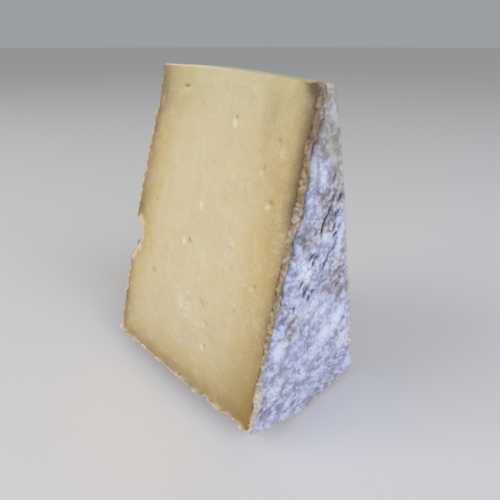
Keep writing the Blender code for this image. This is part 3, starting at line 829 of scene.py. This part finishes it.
# %% [markdown]
# ### Patterns and layers
# Food is coloured in thin layers, and none covers evenly. So a material here is a base colour
# with layers over it. A layer's share is a product: where a mask says it lies, times how patchy
# it is there, times how strong it is.

# %% Patterns and layers
def sized(place, size_mm, detail=3, roughness=0.55, distortion=0):
    """Inputs of a noise whose features have a real size: its scale is one over it, in metres."""
    return {"Vector": place, "Scale": 1 / (size_mm * MM), "Detail": detail,
            "Roughness": roughness, "Distortion": distortion}


def patches(tree, pattern, start, end, low=0, high=1):
    """Soft patches: smoothly from low to high as a noise goes from start to end."""
    value = add_node(tree, "TexNoise", pattern).outputs["Fac"]
    span = {"Value": value, "From Min": start, "From Max": end, "To Min": low, "To Max": high}
    return add_node(tree, "MapRange", span, interpolation_type="SMOOTHSTEP").outputs["Result"]


def laid_over(tree, colour, layer, *shares):
    """A blend from a colour to a layer, by the product of shares.

    A colour is a hex value or an output; a share is a number, an output or a mask's name."""
    factors = [add_node(tree, "Attribute", attribute_name=share).outputs["Fac"]
               if isinstance(share, str) else share for share in shares]
    product = factors[0]
    for factor in factors[1:]:
        product = add_node(tree, "Math", {0: product, 1: factor}, operation="MULTIPLY").outputs[0]
    under, over = (linear(tone) if isinstance(tone, str) else tone for tone in (colour, layer))
    return add_node(tree, "Mix", {0: product, 6: under, 7: over}, data_type="RGBA").outputs[2]


def layered(tree, shader, colour, layers):
    """The surface's colour: each layer, as a colour and its shares, over the ones before it."""
    for layer, *shares in layers:
        colour = laid_over(tree, colour, layer, *shares)
    tree.links.new(colour, shader.inputs["Base Color"])


def roughened(tree, shader, fine, fine_share, coarse, strength, depth_mm):
    """Bumps this many mm high: a share of a fine noise plus a coarse one."""
    fine, coarse = (add_node(tree, "TexNoise", size).outputs["Fac"] for size in (fine, coarse))
    part = add_node(tree, "Math", {0: fine, 1: fine_share}, operation="MULTIPLY").outputs[0]
    height = add_node(tree, "Math", {0: part, 1: coarse}, operation="ADD").outputs[0]
    bump = {"Height": height, "Strength": strength, "Distance": depth_mm * MM}
    normal = add_node(tree, "Bump", bump).outputs["Normal"]
    tree.links.new(normal, shader.inputs["Normal"])


print("noise scale of 2 mm flecks:", sized(None, 2)["Scale"])

# %% [markdown]
# ### Ripened paste
# Young Caerphilly paste is cream and a little see-through, so light spreads about 2 mm inside
# it and softens the small holes. Under the rind it turns straw yellow, then a dull tan where it
# has dried. The knife leaves a faint wax-like shine.

# %% Material: Caerphilly paste, which looks waxy, cream and softly lit from inside
RIPENING = (  # counted depth under the rind, and colour
    (0, "#6e5b3c"), (1.3, "#826d47"), (3, "#b49966"), (5, "#cdb379"), (8, "#dcc58b"),
    (10.6, "#e0cb97"), (12.6, "#e6d5a9"), (18, "#e9d9b0"), (24, "#eadcb5"))
RIPENING_END = RIPENING[-1][0]
DIP_TURN = (0.4, 0.9, 0.2)  # so the dips don't follow the dabs


def ripened(tree):
    """Colour by depth: the depth over the last stop's depth, blended between the stops."""
    depth_mm = add_node(tree, "Attribute", attribute_name="under_rind").outputs["Fac"]
    share = add_node(tree, "Math", {0: depth_mm, 1: RIPENING_END}, operation="DIVIDE")
    blend = add_node(tree, "ValToRGB", {"Fac": share.outputs[0]})
    stops = blend.color_ramp.elements
    for position, _ in RIPENING[1:-1]:
        stops.new(position / RIPENING_END)
    for stop, (position, colour) in zip(stops, RIPENING):
        stop.position, stop.color = position / RIPENING_END, linear(colour)
    return blend.outputs["Color"]


def caerphilly_paste():
    """The ripening colour under clouds, grain and marks, with light spreading inside it."""
    material, tree, shader = new_material(
        "caerphilly_paste", IOR=1.45, Specular_IOR_Level=0.35,
        Subsurface_Weight=0.18, Subsurface_Scale=2 * MM, Subsurface_Radius=(1, 0.75, 0.42))
    place = add_node(tree, "TexCoord").outputs["Object"]
    turned = add_node(tree, "Mapping", {"Vector": place, "Rotation": DIP_TURN}).outputs["Vector"]
    broken = patches(tree, sized(place, 3), 0.3, 0.6, 0.3, 1)
    layered(tree, shader, ripened(tree), (
        ("#d6c68e", patches(tree, sized(place, 11), 0.38, 0.64), 0.16),  # yellow clouds
        ("#e6c8a6", patches(tree, sized(place, 9, 3, 0.5), 0.5, 0.68), 0.16),  # rosy clouds
        ("#c9b992", "dull", 0.22),
        ("#c4d6a2", "near_tip", 0.16),  # a trace of green
        # painted highlight along the tip's edge
        ("#f3f8ea", "top_edge", 0.55),  # the edge catches the light
        ("#fff6e0", patches(tree, sized(place, 0.9, 4), 0.42, 0.68), 0.12),  # grain
        ("#fbf1d6", "streak", 0.06),
        ("#f4e6cd", patches(tree, sized(place, 4.5, 4, 0.6, 0.6), 0.5, 0.66), 0.2),  # dabs
        ("#b9a673", patches(tree, sized(turned, 3.5, 3, 0.6), 0.54, 0.68), 0.12),  # dips
        # ochre of dried paste, with painted shade in the low corner and along the bottom edge
        ("#a07c34", "low_corner", 0.85),  # dried to ochre
        # dried paste beside the lip, and painted shade on its sunken slope
        ("#69543a", "seam", 0.72),
        ("#a2945c", "olive", broken, 0.24),
        ("#8f7a55", "hollow", 0.85),  # less light reaches the holes
        # whiter on crumbs and pale dabs: partly the fresh curd's colour, partly a painted highlight on the
        # raised crumbs
        ("#fbf3dc", "crumb", 2),  # fresh crumbs are whiter
        ("#f5ebdc", "rough", 0.4),
        ("#d3a98c", "blush", broken, 0.26),
        ("#ecd8c2", "skin", 0.85),  # what clings to the cut
    ))
    gloss = patches(tree, sized(place, 6), 0.3, 0.7, 0.42, 0.6)
    tree.links.new(gloss, shader.inputs["Roughness"])
    roughened(tree, shader, sized(place, 0.7, 4, 0.6), 0.6, sized(place, 3, 2), 0.25, 0.12)
    return material


paste.data.materials.append(caerphilly_paste())
print(paste.data.materials[0].name)

# %% [markdown]
# ### Mouldy rind
# The mould is a dry felt, so it has no shine and a soft glow at grazing light. White bloom lies
# over blue-grey skin in flecks of 1 to 3 mm. Where it is thin the beige skin shows, and the
# broken lip is the tan of dried paste.

# %% Material: natural mould rind, which looks dry, dusty and speckled
def natural_rind():
    """Grey and white flecks under patches of mould and the lip's crumbs, as a rough felt."""
    material, tree, shader = new_material(
        "natural_mould_rind", Roughness=0.92, IOR=1.4, Specular_IOR_Level=0.2,
        Sheen_Weight=0.15, Sheen_Roughness=0.6)
    place = add_node(tree, "TexCoord").outputs["Object"]
    lean = {"Vector": place, "Rotation": (STREAK_TURN, 0, 0), "Scale": (1, STREAK_STRETCH, 1)}
    turned = add_node(tree, "Mapping", lean, vector_type="TEXTURE").outputs["Vector"]
    flecks = patches(tree, sized(turned, 2.6, 5, 0.62, 0.5), 0.4, 0.58)
    grit = patches(tree, sized(place, 1.5, 4, 0.6), 0.38, 0.62)
    mauve, yellow, pale = (laid_over(tree, dark, light, grit) for dark, light in (
        ("#866f5b", "#ab947d"), ("#947a52", "#c4a97a"), ("#d3bfa4", "#f6ecdc")))
    tan = laid_over(tree, mauve, yellow, "straw")
    uneven = patches(tree, sized(place, 5), 0.3, 0.6, 0.65, 1)
    layered(tree, shader, laid_over(tree, "#a4a1b6", "#e1e5f9", flecks), (
        ("#d6deff", patches(tree, sized(turned, 8), 0.4, 0.62), 0.4),  # clouds of bloom
        ("#87849b", patches(tree, sized(turned, 5, 4, 0.6), 0.5, 0.66), 0.55),  # grey mould
        ("#757084", patches(tree, sized(place, 1.2, 3, 0.6), 0.55, 0.66), 0.45),  # small pits
        (laid_over(tree, "#a8a092", "#c8c3b8", flecks), "aged", uneven),
        (laid_over(tree, "#857c78", "#dcd5d4", flecks), "beige", 0.75),
        ("#f1f4ff", "white", patches(tree, sized(place, 1.6, 3, 0.6), 0.25, 0.47), 0.85),
        ("#776e6c", "brown", patches(tree, sized(place, 1.6, 4), 0.35, 0.6), 0.7),
        # painted shade in the creases between the mould's cushions
        ("#6b6675", "crease", 0.45),
        (laid_over(tree, tan, pale, "cream"), "lip"),
        (laid_over(tree, "#b8a58c", "#e6d9c6", grit), "worn", 0.9),  # rubbed on the table
        (laid_over(tree, "#cdb49a", "#efdcc8", grit), "torn", 0.9),  # fresh paste in the tear
        # painted shade between the lip's crumbs
        ("#6a563f", "lip_dark", 0.8),  # between the lip's crumbs
        ("#5f4d34", "lip_shade", 0.75),  # beside the paste
        # painted shade in the crevice, with the dark joints between the slabs
        ("#43331f", "gap", 0.92),
        # painted shade inside the slits
        ("#2e2d38", "slit", 0.95),
    ))
    roughened(tree, shader, sized(place, 0.55, 3, 0.65), 0.5, sized(turned, 1.7), 1, 0.5)
    return material


rind.data.materials.append(natural_rind())
print(rind.data.materials[0].name)

# %% [markdown]
# ## Joining the frame
# Both pieces stand for the one plain wedge, which is hidden. They ride on its only body.

# %% Pieces on the frame
for piece in (paste, rind):
    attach(piece, "root")
    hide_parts(WEDGE)

# %% [markdown]
# ## Table, light and camera
# A plain pale table, 80 m wide, reaches nearly to the horizon. A broad warm-white panel above
# the front cut is the key light, a cooler one fills the right side, and a pale sky lifts the
# shadows. The camera looks down at the wedge from about 18 cm.

# %% Table
TABLE_HALF = 40  # metres

table_mesh = bpy.data.meshes.new("table")
corners = [(TABLE_HALF * u, TABLE_HALF * v, 0) for u, v in ((-1, -1), (1, -1), (1, 1), (-1, 1))]
table_mesh.from_pydata(corners, [], [(0, 1, 2, 3)])
dull_paint, _, shader = new_material("painted_tabletop", Roughness=0.7)
shader.inputs["Base Color"].default_value = linear("#efede9")
table_mesh.materials.append(dull_paint)
add_object("table", table_mesh)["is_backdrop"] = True
print("table: %.0f m wide" % (2 * TABLE_HALF))

# %% Lights
LIGHT_AIM = Vector((0, 0, 0.06))  # the middle of the wedge, in metres
SKY_STRENGTH = 0.45


def panel(name, place, size, watts, colour):
    """A square area light that faces the middle of the wedge."""
    light = bpy.data.lights.new(name, "AREA")
    light.size, light.energy, light.color = size, watts, linear(colour)[:3]
    holder = add_object(name, light)
    holder.location = place
    holder.rotation_euler = (holder.location - LIGHT_AIM).to_track_quat("Z", "Y").to_euler()
    print("%s: %.1f W, %.1f m across" % (name, watts, size))


panel("key", (-0.55, -1.05, 0.8), 0.9, 6.9, "#fff8ec")
panel("cool_fill", (1.1, -0.15, 0.75), 0.9, 9, "#e4eaff")
world = bpy.data.worlds.new("pale_sky")
world.use_nodes = True
world.node_tree.nodes["Background"].inputs["Color"].default_value = linear("#dfe2e8")
world.node_tree.nodes["Background"].inputs["Strength"].default_value = SKY_STRENGTH
bpy.context.scene.world = world
bpy.context.scene.view_settings.view_transform = "Standard"

# %% Camera
CAMERA_PLACE = (0.12142, -0.10508, 0.13371)  # metres
CAMERA_DOWN, CAMERA_TURN = 25.77, 46.23  # degrees below level, and round from looking along y

camera = bpy.data.cameras.new("camera")
camera.lens, camera.sensor_width, camera.clip_start = 30.43, 36, 0.005
eye = add_object("camera", camera)
eye.location = CAMERA_PLACE
eye.rotation_euler = (math.radians(90 - CAMERA_DOWN), 0, math.radians(CAMERA_TURN))
bpy.context.scene.camera = eye
print("camera to the wedge's middle: %.2f m" % (eye.location - LIGHT_AIM).length)

# %% Finish
dressed_box = [list(corner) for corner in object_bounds()]
for name, box in (("plain", plain_box), ("dressed", dressed_box)):
    print(name, "mm:", [[round(value / MM, 2) for value in corner] for corner in box])
